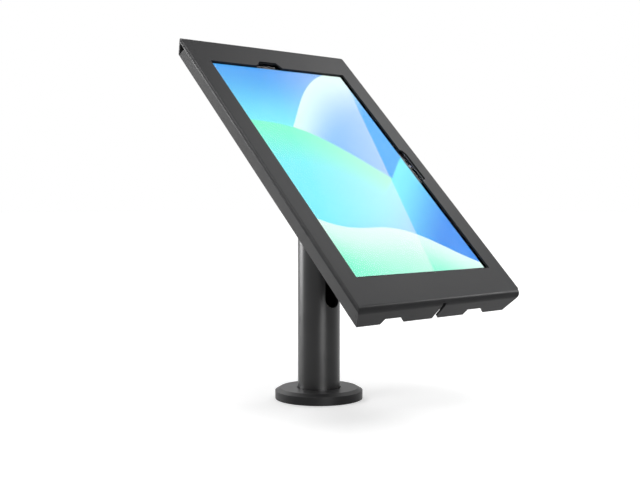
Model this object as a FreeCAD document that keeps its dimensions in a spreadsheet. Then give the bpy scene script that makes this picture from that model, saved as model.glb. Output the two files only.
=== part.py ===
import FreeCAD, Part
import Sketcher
import os
import re
import sys
from math import cos, pi, sin

# Tablet security enclosure on a tilting counter pole.
# The frame is in millimetres, Z up, with the origin on the counter at the pole's axis.
# The screen faces -Y and leans back by the rest tilt.
# Everything above the hinge is drawn flat, face up, with the hinge axis at its origin, and is
# then turned about X by the rest tilt and lifted to the hinge.

DIMENSIONS = [
    ("tube_radius", 21.2, "pole, outside"),
    ("tube_wall", 2.6, "pole wall"),
    ("tube_top", 172.0, "top of the pole above the counter"),
    ("port_width", 18.5, "cable port in the front of the pole"),
    ("port_bottom", 92.6, "lowest point of the cable port"),
    ("port_top", 150.0, "highest point of the cable port"),
    ("gasket_radius", 40.0, "soft ring under the flange"),
    ("gasket_thick", 1.0, "soft ring under the flange"),
    ("flange_radius", 41.6, "steel foot flange"),
    ("flange_thick", 6.0, "steel foot flange"),
    ("bolt_circle", 62.0, "pitch circle diameter of the counter bolts"),
    ("bolt_hole", 6.5, "diameter of the counter bolt holes"),
    ("bolt_sink", 12.4, "diameter of their countersinks"),
    ("disc_radius", 44.1, "dress disc, outside"),
    ("disc_rim", 8.6, "height of the dress disc's rim"),
    ("disc_height", 11.3, "height of the dress disc's top"),
    ("disc_top_radius", 39.4, "flat top of the dress disc"),
    ("disc_wall", 2.0, "wall of the dress disc"),
    ("disc_ring_gap", 0.9, "dark ring between dress disc and pole"),
    ("disc_headroom", 1.2, "space between flange and dress disc"),
    ("loose_gap", 0.3, "clearance of loose fits"),
    ("overlap", 1.0, "how far joined and cutting shapes run into or past each other"),
    ("running_gap", 0.05, "clearance of running fits"),
    ("face_gap", 0.1, "clearance between faces that slide on each other"),
    ("hinge_rise", 14.3, "tilt axis above the hinge post's collar"),
    ("rest_tilt", 45.0, "lean of the screen from lying flat, in degrees"),
    ("spigot_length", 20.0, "hinge post inside the pole"),
    ("collar_thick", 6.0, "collar of the hinge post"),
    ("ear_radius", 13.0, "rounded ears of the hinge post"),
    ("ear_thick", 7.0, "thickness of each ear"),
    ("fork_gap", 18.0, "space between the ears"),
    ("grub_size", 5.0, "diameter of the grub screws"),
    ("grub_length", 8.0, "length of the grub screws"),
    ("grub_drop", 9.0, "grub screws below the pole's top"),
    ("grub_spread", 35.0, "angle of the grub screws from straight behind, in degrees"),
    ("hinge_size", 10.0, "diameter of the hinge bolt"),
    ("hinge_head_radius", 8.0, "head of the hinge bolt"),
    ("hinge_head_thick", 6.0, "head of the hinge bolt"),
    ("hinge_nut_radius", 9.0, "hinge nut, across its corners"),
    ("hinge_nut_thick", 8.0, "hinge nut"),
    ("hinge_bolt_end", 2.0, "hinge bolt beyond its nut"),
    ("washer_thick", 1.6, "washers on the hinge bolt"),
    ("washer_radius", 9.5, "washers on the hinge bolt"),
    ("knuckle_radius", 12.0, "barrel of the tilt knuckle"),
    ("neck_depth", 20.0, "neck of the tilt knuckle along the screen"),
    ("friction_thick", 0.6, "friction discs in the fork"),
    ("ring_inset", 1.0, "friction discs and glide ring inside their seats' edges"),
    ("table_radius", 30.0, "turntable of the tilt knuckle"),
    ("table_thick", 5.0, "turntable of the tilt knuckle"),
    ("glide_thick", 0.9, "glide ring on the turntable"),
    ("glide_hole", 12.0, "inner radius of the glide ring"),
    ("pivot_size", 8.0, "diameter of the pivot bolt"),
    ("pivot_length", 18.0, "thread of the pivot bolt below the turning plate"),
    ("pivot_head_radius", 7.0, "head of the pivot bolt"),
    ("pivot_head_thick", 4.4, "head of the pivot bolt"),
    ("pivot_washer_radius", 10.0, "washer under the pivot bolt's head"),
    ("pivot_washer_thick", 1.2, "washer under the pivot bolt's head"),
    ("stop_radius", 22.0, "stop pin from the pivot"),
    ("stop_size", 4.0, "diameter of the stop pin"),
    ("stop_seat", 1.0, "metal left under the stop pin"),
    ("stop_slack", 0.4, "clearance of the stop pin in its slot"),
    ("vesa_margin", 9.0, "turning plate beyond its outer screws"),
    ("vesa_corner", 9.0, "corner radius of the turning plate"),
    ("vesa_thick", 3.0, "thickness of the turning plate"),
    ("vesa_wide", 100.0, "outer screw square of the turning plate"),
    ("vesa_narrow", 75.0, "inner screw square of the turning plate"),
    ("vesa_hole", 4.5, "screw holes of the turning plate"),
    ("vesa_screw", 4.0, "diameter of the plate screws"),
    ("vesa_screw_head", 4.0, "head radius of the plate screws"),
    ("vesa_screw_head_thick", 2.6, "head height of the plate screws"),
    ("press_nut_radius", 4.5, "press nuts in the back plate"),
    ("press_nut_thick", 3.2, "press nuts in the back plate"),
    ("press_nut_wall", 1.0, "wall of the press nuts' collars"),
    ("face_height", 60.8, "front face of the cover above the tilt axis"),
    ("cover_half_width", 113.5, "pole axis to the side bend's sharp corner"),
    ("cover_taper", 13.2, "how far each side leans in over the depth"),
    ("cover_top", 177.7, "pole normal to the top flange"),
    ("cover_bottom", 177.7, "pole normal to the bottom flange"),
    ("cover_depth", 22.4, "depth of the cover"),
    ("cover_sheet", 2.0, "sheet of the cover"),
    ("side_bend", 2.2, "outside radius of the side bends"),
    ("end_bend", 5.5, "outside radius of the top and bottom bends"),
    ("window_side_gap", 22.85, "window inside the cover's half width"),
    ("window_end_gap", 34.9, "window inside the cover's ends"),
    ("window_rise", 0.3, "window's centre above the cover's"),
    ("sensor_notch_depth", 7.7, "notch above the window"),
    ("sensor_notch_left", 24.0, "left end of that notch's edge, to the left"),
    ("sensor_notch_right", 2.0, "right end of that notch's edge, to the left"),
    ("sensor_notch_run", 4.6, "right slope of that notch"),
    ("camera_notch_depth", 5.9, "notch beside the window"),
    ("camera_notch_up", 17.0, "upper end of that notch's edge"),
    ("camera_notch_down", 19.5, "lower end of that notch's edge"),
    ("camera_notch_step", 5.3, "first slope at that notch's upper end"),
    ("camera_notch_run", 6.5, "both slopes at that notch's upper end"),
    ("camera_notch_fall", 3.0, "slope at that notch's lower end"),
    ("corner_cut_run", 14.6, "corner opening along the side flange"),
    ("corner_cut_start", 3.7, "corner opening behind the face"),
    ("corner_cut_end", 21.4, "corner opening's deep end behind the face"),
    ("top_end_gap", 3.6, "ends of the top flange inside the half width, in line with the face"),
    ("top_end_lean", 9.7, "how far those ends lean in over the depth"),
    ("right_end_gap", 5.2, "right end of the bottom flange inside the half width, likewise"),
    ("right_end_lean", 9.2, "how far that end leans in over the depth"),
    ("flange_slit", 0.4, "gap between side and bottom flange"),
    ("flange_notch_left", 60.3, "centre of the left notch, to the left"),
    ("flange_notch_right", 50.2, "centre of the right notch, to the right"),
    ("flange_notch_width", 19.6, "floor of each bottom notch"),
    ("flange_notch_depth", 7.0, "depth of each bottom notch"),
    ("flange_notch_lead", 1.3, "left slope of each bottom notch"),
    ("flange_notch_slope", 8.6, "right slope of each bottom notch"),
    ("split_left", 4.3, "slit in the bottom flange, left of the centre"),
    ("split_width", 4.6, "width of that slit"),
    ("split_start", 2.4, "start of that slit behind the face"),
    ("split_flare_height", 2.8, "flared mouth of the slit"),
    ("split_flare_width", 3.2, "flared mouth of the slit"),
    ("plate_drop", 17.0, "cover's face to the back plate"),
    ("plate_thick", 2.0, "back plate"),
    ("plate_side_gap", 16.6, "back plate inside the cover's half width"),
    ("plate_corner", 6.0, "corner radius of the back plate"),
    ("plate_top_gap", 3.8, "back plate below the top flange's outside"),
    ("plate_bottom_gap", 6.4, "back plate above the bottom flange's outside"),
    ("tab_place", 60.0, "hook tabs from the centre"),
    ("tab_width", 24.0, "hook tabs"),
    ("tab_reach", 2.6, "hook tabs beyond the top flange"),
    ("tab_slot", 5.2, "slots for the hook tabs, front to back"),
    ("pivot_window", 12.0, "radius of the back plate's centre hole"),
    ("cable_window_width", 46.0, "cable window in the back plate"),
    ("cable_window_height", 17.0, "cable window in the back plate"),
    ("cable_window_rise", 55.7, "cable window above the bottom flange's outside"),
    ("vent_width", 5.0, "vents in the back plate"),
    ("vent_height", 34.0, "vents in the back plate"),
    ("vent_pitch", 14.0, "vents in the back plate"),
    ("vent_drop", 65.7, "vents below the top flange's outside"),
    ("tablet_side_gap", 16.15, "tablet inside the cover's half width"),
    ("tablet_end_gap", 27.4, "tablet inside the cover's ends"),
    ("tablet_thick", 6.0, "tablet body"),
    ("tablet_corner", 9.0, "tablet body's corner radius"),
    ("tablet_rise", 1.9, "tablet's centre above the cover's"),
    ("tablet_wall", 1.3, "tablet body's wall"),
    ("tablet_floor", 1.0, "tablet body's back"),
    ("glass_gap", 0.4, "space between cover and glass"),
    ("glass_thick", 0.9, "cover glass"),
    ("glass_fit", 0.05, "space round the cover glass"),
    ("screen_side_gap", 9.15, "lit area inside the tablet's sides"),
    ("screen_end_gap", 9.2, "lit area inside the tablet's ends"),
    ("screen_thick", 0.6, "display panel"),
    ("battery_side_gap", 22.35, "battery inside the tablet's sides"),
    ("battery_end_gap", 33.3, "battery and board inside the tablet's ends"),
    ("battery_thick", 3.2, "battery"),
    ("board_long", 44.0, "main board"),
    ("board_thick", 1.2, "main board"),
    ("socket_width", 9.2, "charging socket"),
    ("socket_height", 3.3, "charging socket"),
    ("lens_radius", 2.0, "front camera"),
    ("lens_edge", 4.9, "front camera from the tablet's edge"),
    ("rear_lens_radius", 6.5, "rear camera"),
    ("rear_lens_proud", 1.0, "rear camera"),
    ("rear_lens_inset", 17.0, "rear camera from the tablet's edges"),
    ("key_depth", 2.4, "tablet key, front to back"),
    ("key_proud", 0.7, "tablet key beyond the tablet's end"),
    ("power_length", 10.0, "power key"),
    ("power_place", -24.0, "power key from the centre"),
    ("volume_length", 22.0, "volume key"),
    ("volume_place", 2.0, "volume key from the centre"),
    ("pad_wide", 34.0, "back pads"),
    ("pad_long", 44.0, "back pads"),
    ("pad_inset", 16.0, "back pads from the tablet's edges"),
    ("pad_gap", 0.2, "back pads to the tablet"),
    ("stop_wide", 24.0, "end blocks"),
    ("stop_long", 9.0, "end blocks"),
    ("stop_inset", 19.35, "end blocks' middles inside the tablet's sides"),
    ("stop_short", 4.6, "cover's face to the end blocks"),
    ("strip_long", 70.0, "side strips"),
    ("strip_place", 88.0, "side strips from the centre"),
    ("strip_tall", 7.0, "side strips, front to back"),
    ("strip_drop", 3.0, "side strips behind the cover's sheet"),
    ("lock_stop_gap", 30.0, "lock's axis to the right end block's middle"),
    ("lock_rise", 18.7, "lock above the bottom flange's outside"),
    ("lock_radius", 8.0, "lock barrel"),
    ("lock_rim", 10.0, "lock rim behind the back plate"),
    ("lock_rim_thick", 2.0, "lock rim behind the back plate"),
    ("lock_end", 7.0, "cover's face to the lock barrel's end"),
    ("plug_radius", 5.4, "lock plug"),
    ("key_slot_width", 1.2, "key slot of the lock plug"),
    ("key_slot_length", 7.6, "key slot of the lock plug"),
    ("key_slot_depth", 5.4, "key slot of the lock plug"),
    ("lock_nut_radius", 11.2, "lock nut, across its corners"),
    ("lock_nut_thick", 4.0, "lock nut"),
    ("cam_thick", 1.5, "lock cam"),
    ("cam_reach", 14.5, "lock cam from the lock's axis"),
    ("cam_radius", 4.5, "lock cam's half width"),
    ("cam_screw_radius", 3.0, "lock cam's screw"),
    ("cam_screw_thick", 1.8, "lock cam's screw"),
    ("rail_sheet", 1.5, "latch rail"),
    ("rail_length", 40.0, "latch rail, centred on the lock"),
    ("rail_lip", 6.0, "latch rail's lip from the bottom flange"),
    ("rail_end", 15.2, "cover's face to the latch rail's far edge"),
]

DERIVED = {
    "flange_top": "gasket_thick + flange_thick",
    "disc_ceiling": "flange_top + disc_headroom",
    "tube_bore": "tube_radius - tube_wall",
    "post_top": "tube_top + collar_thick",
    "hinge_height": "post_top + hinge_rise",
    "knuckle_half": "fork_gap / 2 - face_gap - friction_thick",
    "ear_outside": "fork_gap / 2 + ear_thick",
    "cover_back": "face_height - cover_depth",
    "cover_inside": "face_height - cover_sheet",
    "taper_slope": "cover_taper / cover_depth",
    "side_wall": "cover_sheet * sqrt(1 + taper_slope ^ 2)",
    "cover_middle": "(cover_top - cover_bottom) / 2",
    "cover_height": "cover_top + cover_bottom",
    "window_width": "2 * (cover_half_width - window_side_gap)",
    "window_height": "cover_height - 2 * window_end_gap",
    "window_centre": "cover_middle + window_rise",
    "top_end_half_width": "cover_half_width - top_end_gap",
    "right_end_half_width": "cover_half_width - right_end_gap",
    "tablet_wide": "2 * (cover_half_width - tablet_side_gap)",
    "tablet_long": "cover_height - 2 * tablet_end_gap",
    "tablet_centre": "cover_middle + tablet_rise",
    "screen_wide": "tablet_wide - 2 * screen_side_gap",
    "screen_long": "tablet_long - 2 * screen_end_gap",
    "battery_wide": "tablet_wide - 2 * battery_side_gap",
    "battery_long": "tablet_long - board_long - 2 * battery_end_gap",
    "stop_place": "tablet_wide / 2 - stop_inset",
    "lock_place": "stop_place - lock_stop_gap",
    "glass_front": "cover_inside - glass_gap",
    "tablet_back": "glass_front - tablet_thick",
    "glass_back": "glass_front - glass_thick",
    "screen_back": "glass_back - screen_thick",
    "tray_floor": "tablet_back + tablet_floor",
    "tablet_end": "tablet_centre + tablet_long / 2",
    "tablet_foot": "tablet_centre - tablet_long / 2",
    "plate_front": "face_height - plate_drop",
    "plate_back": "plate_front - plate_thick",
    "plate_middle": "plate_front - plate_thick / 2",
    "plate_high": "cover_top - plate_top_gap",
    "plate_low": "cover_bottom - plate_bottom_gap",
    "plate_half_width": "cover_half_width - plate_side_gap",
    "cable_window_drop": "cover_bottom - cable_window_rise",
    "vent_rise": "cover_top - vent_drop",
    "lock_drop": "cover_bottom - lock_rise",
    "vesa_back": "plate_back - vesa_thick",
    "vesa_side": "vesa_wide + 2 * vesa_margin",
    "table_top": "vesa_back - face_gap - glide_thick",
    "table_bottom": "table_top - table_thick",
    "cam_back": "face_height - lock_end + face_gap",
    "cam_front": "cam_back + cam_thick",
    "lock_stem": "face_height - lock_end",
    "rail_top": "cam_back - loose_gap",
    "bottom_inside": "cover_sheet - cover_bottom",
}

WORD = re.compile(r"[a-z_]+")
NAMES = {name for name, number, note in DIMENSIONS}

doc = FreeCAD.newDocument("tablet_enclosure")
sheet = doc.addObject("Spreadsheet::Sheet", "Sizes")
for row, (name, number, note) in enumerate(DIMENSIONS, 1):
    sheet.set(f"A{row}", name)
    sheet.set(f"B{row}", str(number))
    sheet.setAlias(f"B{row}", name)
    sheet.set(f"C{row}", note)
doc.recompute()

NODES = {}

# Sketches start as rough loops of these radii, until their dimensions pull them into place.
START_LOOP = 50.0
START_CIRCLE = 10.0

# Tolerances for telling edges apart.
SAME = 1e-6
CLOSE = 1e-3
LONG_EDGE = 1.0


# Formulas name the cells of the sheet, and derived sizes are written out in full.
def formula(text):
    def spell(match):
        word = match.group(0)
        if word in DERIVED:
            return "(" + formula(DERIVED[word]) + ")"
        return "Sizes." + word if word in NAMES else word
    return WORD.sub(spell, text)


def bind(thing, **sizes):
    for size, text in sizes.items():
        thing.setExpression(size, formula(text))


def place(thing, x="0", y="0", z="0"):
    for axis, text in zip("xyz", (x, y, z)):
        thing.setExpression("Placement.Base." + axis, formula(text))


def turned(axis, angle):
    return FreeCAD.Placement(FreeCAD.Vector(), FreeCAD.Rotation(FreeCAD.Vector(*axis), angle))


ALONG = {"z": turned((0, 0, 1), 0), "x": turned((0, 1, 0), 90), "y": turned((1, 0, 0), -90)}


# Solid primitives.
def box(name, x, y, z, length, width, height):
    solid = doc.addObject("Part::Box", name)
    bind(solid, Length=length, Width=width, Height=height)
    place(solid, x, y, z)
    return solid


def centred_box(name, x, y, z, length, width, height):
    return box(name, f"{x} - ({length}) / 2", f"{y} - ({width}) / 2", z, length, width, height)


def rod(name, radius, length, x="0", y="0", z="0", along="z"):
    solid = doc.addObject("Part::Cylinder", name)
    solid.Placement = ALONG[along]
    bind(solid, Radius=radius, Height=length)
    place(solid, x, y, z)
    return solid


def cone(name, low_radius, high_radius, length, x="0", y="0", z="0"):
    solid = doc.addObject("Part::Cone", name)
    bind(solid, Radius1=low_radius, Radius2=high_radius, Height=length)
    place(solid, x, y, z)
    return solid


def hexagon(name, radius, length, x="0", y="0", z="0", along="z"):
    solid = doc.addObject("Part::Prism", name)
    solid.Polygon = 6
    solid.Placement = ALONG[along]
    bind(solid, Circumradius=radius, Height=length)
    place(solid, x, y, z)
    return solid


# Booleans.
def join(name, *solids):
    union = doc.addObject("Part::MultiFuse", name)
    union.Shapes = list(solids)
    return union


def less(name, base, *tools):
    rest = doc.addObject("Part::Cut", name)
    rest.Base = base
    rest.Tool = tools[0] if len(tools) == 1 else join(name + "_tools", *tools)
    return rest


def both(name, first, second):
    common = doc.addObject("Part::Common", name)
    common.Base = first
    common.Tool = second
    return common


def group(name, *solids):
    several = doc.addObject("Part::Compound", name)
    several.Links = list(solids)
    return several


# Sketches: every corner is held by its own pair of dimensions.
def outline(sketch, corners):
    count = len(corners)
    angles = [2 * pi * i / count for i in range(count)]
    start = [FreeCAD.Vector(START_LOOP * cos(angle), START_LOOP * sin(angle), 0) for angle in angles]
    for i in range(count):
        sketch.addGeometry(Part.LineSegment(start[i], start[(i + 1) % count]))
    for i in range(count):
        sketch.addConstraint(Sketcher.Constraint("Coincident", i, 2, (i + 1) % count, 1))
    for i, corner in enumerate(corners):
        for kind, axis, text in (("DistanceX", -2, corner[0]), ("DistanceY", -1, corner[1])):
            if text == "0":
                sketch.addConstraint(Sketcher.Constraint("PointOnObject", i, 1, axis))
                continue
            index = sketch.addConstraint(Sketcher.Constraint(kind, -1, 1, i, 1, 1.0))
            sketch.setExpression(f"Constraints[{index}]", formula(text))


def circle(sketch, radius):
    start = START_CIRCLE + sketch.GeometryCount
    index = sketch.addGeometry(Part.Circle(FreeCAD.Vector(), FreeCAD.Vector(0, 0, 1), start))
    sketch.addConstraint(Sketcher.Constraint("Coincident", index, 3, -1, 1))
    size = sketch.addConstraint(Sketcher.Constraint("Radius", index, start))
    sketch.setExpression(f"Constraints[{size}]", formula(radius))


VIEWS = {
    "top": (turned((0, 0, 1), 0), FreeCAD.Vector(0, 0, 1), "z"),
    "front": (turned((1, 0, 0), 90), FreeCAD.Vector(0, 1, 0), "y"),
    "side": (turned((1, 1, 1), 120), FreeCAD.Vector(1, 0, 0), "x"),
}


# A flat outline drawn in one view and pushed through along that view's axis.
def prism(name, view, corners, start, length):
    placement, direction, axis = VIEWS[view]
    sketch = doc.addObject("Sketcher::SketchObject", name + "_outline")
    sketch.Placement = placement
    outline(sketch, corners)
    sketch.setExpression("Placement.Base." + axis, formula(start))
    solid = doc.addObject("Part::Extrusion", name)
    solid.Base = sketch
    solid.DirMode = "Custom"
    solid.Dir = direction
    solid.Solid = True
    bind(solid, LengthFwd=length)
    return solid


def body_sketch(body, name, role):
    sketch = body.newObject("Sketcher::SketchObject", name)
    plane = [feature for feature in body.Origin.OriginFeatures if feature.Role == role][0]
    sketch.AttachmentSupport = [(plane, "")]
    sketch.MapMode = "FlatFace"
    return sketch


def pad(body, sketch, length, symmetric=False):
    feature = body.newObject("PartDesign::Pad", sketch.Name + "_pad")
    feature.Profile = sketch
    feature.SideType = "Symmetric" if symmetric else "One side"
    bind(feature, Length=length)
    return feature


def edges_where(shape, test):
    return [f"Edge{i}" for i, edge in enumerate(shape.Edges, 1) if test(edge)]


def round_edges(body, base, test, radius):
    doc.recompute()
    feature = body.newObject("PartDesign::Fillet", base.Name + "_fillet")
    feature.Base = (base, edges_where(base.Shape, test))
    bind(feature, Radius=radius)
    return feature


def upright(edge):
    ends = [vertex.Point for vertex in edge.Vertexes]
    return len(ends) == 2 and (ends[0] - ends[1]).cross(FreeCAD.Vector(0, 0, 1)).Length < SAME


# A plate or block with rounded corners, lying in the XY plane of its own frame.
def slab(name, width, length, thick, corner, x="0", y="0", z="0"):
    body = doc.addObject("PartDesign::Body", name)
    sketch = body_sketch(body, name + "_sketch", "XY_Plane")
    outline(sketch, [(f"{x} {sx} ({width}) / 2", f"{y} {sy} ({length}) / 2")
                     for sx, sy in (("-", "-"), ("+", "-"), ("+", "+"), ("-", "+"))])
    sketch.setExpression("AttachmentOffset.Base.z", formula(z))
    base = pad(body, sketch, thick)
    round_edges(body, base, upright, corner)
    return body


def slot(name, width, height, thick, x, y, z):
    straight = f"{width} - {height}"
    middle = centred_box(name + "_middle", x, y, z, straight, height, thick)
    ends = [rod(name + end, f"({height}) / 2", thick, f"{x} {sign} ({straight}) / 2", y, z)
            for end, sign in (("_left", "-"), ("_right", "+"))]
    return join(name, middle, *ends)


def tall_slot(name, width, height, thick, x, y, z):
    straight = f"{height} - {width}"
    middle = centred_box(name + "_middle", x, y, z, width, straight, thick)
    ends = [rod(name + end, f"({width}) / 2", thick, x, f"{y} {sign} ({straight}) / 2", z)
            for end, sign in (("_low", "-"), ("_high", "+"))]
    return join(name, middle, *ends)


# A tilted piece is wrapped, so that its own place stays as drawn.
def keep(node, solid, tilted=False):
    if tilted:
        solid = group("tilted_" + node, solid)
        solid.Placement = FreeCAD.Placement(FreeCAD.Vector(), FreeCAD.Rotation(FreeCAD.Vector(1, 0, 0), 45))
        solid.setExpression("Placement.Rotation.Angle", formula("rest_tilt"))
        solid.setExpression("Placement.Base.z", formula("hinge_height"))
    solid.Label = node
    NODES[node] = solid


SIGNS = [(-1, -1), (1, -1), (1, 1), (-1, 1)]


# Four copies on the corners of a square.
def on_square(name, side, make):
    return [make(f"{name}_{i}", f"{sx} * {side} / 2", f"{sy} * {side} / 2")
            for i, (sx, sy) in enumerate(SIGNS)]


# Foot.
def counter_gasket():
    ring = rod("gasket_disc", "gasket_radius", "gasket_thick")
    bore = rod("gasket_bore", "tube_bore", "3 * gasket_thick", z="-gasket_thick")

    def hole(name, x, y):
        return rod(name, "bolt_hole / 2", "3 * gasket_thick", x, y, "-gasket_thick")

    holes = on_square("gasket_hole", "bolt_circle / sqrt(2)", hole)
    keep("counter_gasket", less("gasket", ring, bore, *holes))


def mounting_flange():
    body = doc.addObject("PartDesign::Body", "flange")
    sketch = body_sketch(body, "flange_sketch", "XY_Plane")
    circle(sketch, "flange_radius")
    circle(sketch, "tube_radius + running_gap")
    sketch.setExpression("AttachmentOffset.Base.z", formula("gasket_thick"))
    pad(body, sketch, "flange_thick")
    holes = on_square("flange_hole", "bolt_circle / sqrt(2)",
                      lambda name, x, y: rod(name, "bolt_hole / 2", "2 * flange_thick", x, y, "0"))
    depth = "(bolt_sink - bolt_hole) / 2"
    sinks = on_square("flange_sink", "bolt_circle / sqrt(2)",
                      lambda name, x, y: cone(name, "bolt_hole / 2", "bolt_sink / 2", depth,
                                              x, y, f"flange_top - {depth}"))
    keep("mounting_flange", less("flange_drilled", body, *holes, *sinks))


def base_cover():
    body = doc.addObject("PartDesign::Body", "dress_disc")
    sketch = body_sketch(body, "dress_sketch", "XZ_Plane")
    inner = "disc_radius - disc_wall"
    bore = "tube_radius + disc_ring_gap"
    outline(sketch, [(bore, "disc_ceiling"), (inner, "disc_ceiling"), (inner, "loose_gap"),
                     ("disc_radius", "loose_gap"), ("disc_radius", "disc_rim"),
                     ("disc_top_radius", "disc_height"), (bore, "disc_height")])
    turn = body.newObject("PartDesign::Revolution", "dress_turn")
    turn.Profile = sketch
    turn.ReferenceAxis = (sketch, ["V_Axis"])
    turn.Angle = 360.0
    keep("base_cover", body)


# Pole, with its cable port in front and the grub screws behind.
def grub_tools(name, radius, start, length):
    tools = []
    for side in (-1, 1):
        solid = rod(f"{name}_{side + 1}", radius, length, along="y")
        turn = formula(f"{side} * grub_spread")
        reach = formula(start)
        solid.setExpression("Placement.Rotation",
                            f"rotation(vector(0; 0; 1); {turn}) * rotation(vector(1; 0; 0); -90)")
        solid.setExpression("Placement.Base.x", f"-({reach}) * sin({turn} * 1 deg)")
        solid.setExpression("Placement.Base.y", f"({reach}) * cos({turn} * 1 deg)")
        solid.setExpression("Placement.Base.z", formula("tube_top - grub_drop"))
        tools.append(solid)
    return tools


def pole_tube():
    outside = rod("tube_outside", "tube_radius", "tube_top - gasket_thick", z="gasket_thick")
    inside = rod("tube_inside", "tube_bore", "tube_top + 2 * gasket_thick", z="-gasket_thick")
    reach = "tube_radius + tube_wall"
    low = rod("port_low", "port_width / 2", reach, y=f"-({reach})",
              z="port_bottom + port_width / 2", along="y")
    high = rod("port_high", "port_width / 2", reach, y=f"-({reach})",
               z="port_top - port_width / 2", along="y")
    middle = box("port_middle", "-port_width / 2", f"-({reach})", "port_bottom + port_width / 2",
                 "port_width", reach, "port_top - port_bottom - port_width")
    port = join("port", low, middle, high)
    holes = grub_tools("tube_hole", "grub_size / 2 + running_gap", "tube_bore - tube_wall", "3 * tube_wall")
    keep("pole_tube", less("tube", outside, inside, port, *holes))


def hinge_post():
    spigot = rod("post_spigot", "tube_bore - loose_gap", "spigot_length + collar_thick / 2",
                 z="tube_top - spigot_length")
    collar = rod("post_collar", "tube_radius", "collar_thick", z="tube_top")
    parts = [spigot, collar]
    for name, start in (("left", "-(ear_outside)"), ("right", "fork_gap / 2")):
        parts.append(rod(f"post_ear_{name}", "ear_radius", "ear_thick", start, "0", "hinge_height", "x"))
        parts.append(box(f"post_leg_{name}", start, "-ear_radius", "tube_top + collar_thick / 2",
                         "ear_thick", "2 * ear_radius", "hinge_height - tube_top - collar_thick / 2"))
    solid = join("post_solid", *parts)
    bore = rod("post_bore", "hinge_size / 2 + running_gap", "4 * ear_outside", "-2 * (ear_outside)", "0",
               "hinge_height", "x")
    holes = grub_tools("post_hole", "grub_size / 2 + running_gap", "tube_radius - grub_length - face_gap",
                       "2 * grub_length")
    keep("hinge_post", less("post", solid, bore, *holes))


def grub_screws():
    shanks = grub_tools("grub", "grub_size / 2", "tube_radius - grub_length", "grub_length")
    keys = grub_tools("grub_key", "grub_size / 4", "tube_radius - grub_size / 2", "grub_size")
    screws = [less(f"grub_screw_{i}", shank, key) for i, (shank, key) in enumerate(zip(shanks, keys))]
    keep("grub_screws", group("grubs", *screws))


def hinge_bolt():
    head_start = "-(ear_outside) - washer_thick - hinge_head_thick"
    head = rod("bolt_head", "hinge_head_radius", "hinge_head_thick", head_start, "0", "hinge_height", "x")
    grip = "2 * (ear_outside) + 2 * washer_thick + hinge_nut_thick"
    shank = rod("bolt_shank", "hinge_size / 2", f"{grip} + hinge_head_thick / 2 + hinge_bolt_end",
                "-(ear_outside) - washer_thick - hinge_head_thick / 2", "0", "hinge_height", "x")
    key = hexagon("bolt_key", "hinge_size / 2", "hinge_head_thick / 2", head_start, "0", "hinge_height", "x")
    keep("hinge_bolt", less("bolt", join("bolt_solid", head, shank), key))


def hinge_nut():
    start = "ear_outside + washer_thick"
    nut = hexagon("nut_body", "hinge_nut_radius", "hinge_nut_thick", start, "0", "hinge_height", "x")
    bore = rod("nut_bore", "hinge_size / 2 + running_gap", "2 * hinge_nut_thick", f"{start} - overlap", "0",
               "hinge_height", "x")
    keep("hinge_nut", less("nut", nut, bore))


def hinge_washers():
    rings = []
    for name, start in (("left", "-(ear_outside) - washer_thick"), ("right", "ear_outside")):
        ring = rod(f"washer_{name}", "washer_radius", "washer_thick", start, "0", "hinge_height", "x")
        bore = rod(f"washer_bore_{name}", "hinge_size / 2 + running_gap", "3 * washer_thick",
                   f"{start} - washer_thick", "0", "hinge_height", "x")
        rings.append(less(f"washer_ring_{name}", ring, bore))
    keep("hinge_washers", group("washers", *rings))


# Tilting head.
def tilt_knuckle():
    barrel = rod("knuckle_barrel", "knuckle_radius", "2 * (knuckle_half)", "-(knuckle_half)", along="x")
    neck = centred_box("knuckle_neck", "0", "0", "0", "2 * (knuckle_half)", "neck_depth",
                       "table_bottom + overlap")
    table = rod("knuckle_table", "table_radius", "table_thick", z="table_bottom")
    solid = join("knuckle_solid", barrel, neck, table)
    bore = rod("knuckle_bore", "hinge_size / 2 + running_gap", "4 * knuckle_half", "-2 * (knuckle_half)",
               along="x")
    thread = rod("knuckle_thread", "pivot_size / 2 + running_gap", "pivot_length + overlap",
                 z="vesa_back - pivot_length")
    pin_hole = rod("knuckle_pin_hole", "stop_size / 2", "table_thick", y="stop_radius",
                   z="table_bottom + stop_seat")
    keep("tilt_knuckle", less("knuckle", solid, bore, thread, pin_hole), tilted=True)


def friction_discs():
    rings = []
    for name, start in (("left", "-(knuckle_half) - friction_thick"), ("right", "knuckle_half")):
        ring = rod(f"friction_{name}", "knuckle_radius - ring_inset", "friction_thick", start, along="x")
        bore = rod(f"friction_bore_{name}", "hinge_size / 2 + running_gap", "3 * friction_thick",
                   f"{start} - friction_thick", along="x")
        rings.append(less(f"friction_ring_{name}", ring, bore))
    keep("friction_discs", group("frictions", *rings), tilted=True)


def glide_ring():
    ring = rod("glide_disc", "table_radius - ring_inset", "glide_thick", z="table_top")
    bore = rod("glide_bore", "glide_hole", "3 * glide_thick", z="table_top - glide_thick")
    pin_hole = rod("glide_pin_hole", "stop_size / 2 + running_gap", "3 * glide_thick",
                   y="stop_radius", z="table_top - glide_thick")
    keep("glide_ring", less("glide", ring, bore, pin_hole), tilted=True)


def pivot_bolt():
    head_start = "plate_back + face_gap + pivot_washer_thick"
    head = rod("pivot_head", "pivot_head_radius", "pivot_head_thick", z=head_start)
    shank = rod("pivot_shank", "pivot_size / 2", f"{head_start} - vesa_back + pivot_length + overlap",
                z="vesa_back - pivot_length")
    key = hexagon("pivot_key", "pivot_size / 3", "pivot_head_thick", z=f"{head_start} + pivot_head_thick / 2")
    keep("pivot_bolt", less("pivot", join("pivot_solid", head, shank), key), tilted=True)


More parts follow.
